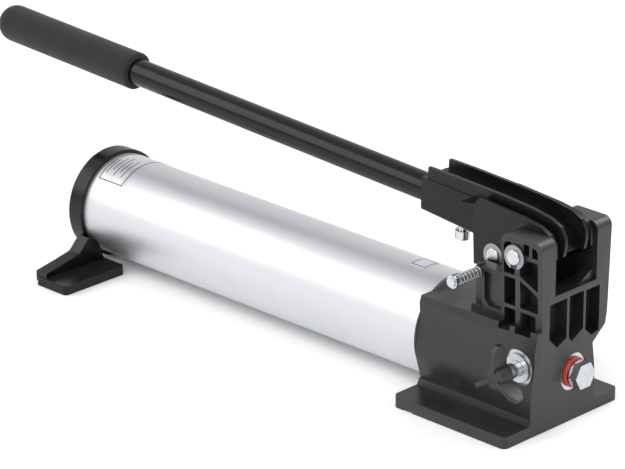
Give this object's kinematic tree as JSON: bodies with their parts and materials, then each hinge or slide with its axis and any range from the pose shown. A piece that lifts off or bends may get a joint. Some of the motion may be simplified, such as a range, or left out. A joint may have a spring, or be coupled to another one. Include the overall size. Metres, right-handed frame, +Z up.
{
  "type": "hydraulic hand pump",
  "caption": "Two-stage hydraulic hand pump: black nylon-clad head with front foot, aluminium tube reservoir, rear cap with feet, lever handle with foam grip, winged release knob.",
  "frame": {"origin": "middle of the underside of the front foot", "axes": "+X along the reservoir towards the pump head and its outlet, +Z up, release valve on the -Y side, lever grip towards -X"},
  "size_m": [0.5385, 0.1548, 0.1523],
  "materials": {
    "nylon": "satin",
    "knob": "matt",
    "core": "machined",
    "tube": "satin anodised",
    "seal": "matt",
    "zinc": "zinc plated",
    "clear_nylon": "natural",
    "strainer": "fine mesh",
    "label": "satin film, blank",
    "clip": "phosphated",
    "wiper": "polyurethane",
    "polished": "polished",
    "red_seal": "satin",
    "spring": "drawn wire",
    "black_paint": "gloss",
    "foam": "matt, fine grain",
    "bronze": "sintered",
    "pale_plastic": "satin"
  },
  "bodies": {
    "frame": {"pump_head": "nylon", "pump_core": "core", "reservoir_tube": "tube", "tank_seals": "seal", "rear_cap": "nylon", "tie_rod": "zinc", "tie_rod_washer": "seal", "tie_rod_nut": "zinc", "suction_tube": "clear_nylon", "suction_strainer": "strainer", "spec_plate": "label", "head_plate": "label", "pivot_pin": "zinc", "pivot_clips": "clip", "gland_nut": "zinc", "wiper_ring": "wiper", "high_pressure_seal": "wiper", "release_gland": "zinc", "release_ball": "polished", "outlet_plug": "zinc", "outlet_seal": "red_seal", "lock_spring": "spring", "inlet_ball": "polished", "inlet_spring": "spring", "inlet_screw": "zinc", "outlet_ball": "polished", "outlet_spring": "spring", "outlet_screw": "zinc", "relief_ball": "polished", "relief_spring": "spring", "relief_screw": "zinc"},
    "lever": {"beam": "nylon", "handle_tube": "black_paint", "handle_grip": "foam", "handle_screw": "zinc", "pivot_bushes": "bronze", "piston_pin": "zinc", "piston_clips": "clip"},
    "plunger": {"plunger": "polished", "low_pressure_seal": "wiper"},
    "release": {"release_knob": "knob", "release_stem": "zinc", "release_o_ring": "seal"},
    "lock": {"lock_pin": "zinc", "lock_pin_clip": "clip"},
    "filler": {"fill_plug": "pale_plastic", "fill_plug_seal": "seal"}
  },
  "joints": [
    {"name": "handle_pivot", "type": "hinge", "parent": "frame", "child": "lever", "pos_m": [0.0257, 0.01, 0.1133], "axis": [0, 1, 0], "range_deg": [0, 46]},
    {"name": "plunger_slide", "type": "slide", "parent": "frame", "child": "plunger", "axis": [0, 0, 1], "range_m": [0, 0.02525]},
    {"name": "release_turn", "type": "hinge", "parent": "frame", "child": "release", "pos_m": [0.0333, -0.045, 0.0426], "axis": [0, 1, 0], "range_deg": [0, 270]},
    {"name": "lock_pin_slide", "type": "slide", "parent": "frame", "child": "lock", "axis": [0, 1, 0], "range_m": [0, 0.0025], "stiffness_N_per_m": 600},
    {"name": "fill_plug_turn", "type": "hinge", "parent": "frame", "child": "filler", "pos_m": [-0.368, -0.004, 0.0628], "axis": [1, 0, 0], "range_deg": [0, 180]}
  ],
  "couplings": [
    {"joint": "plunger_slide", "follows": "handle_pivot", "m_per_rad": 0.031329}
  ]
}
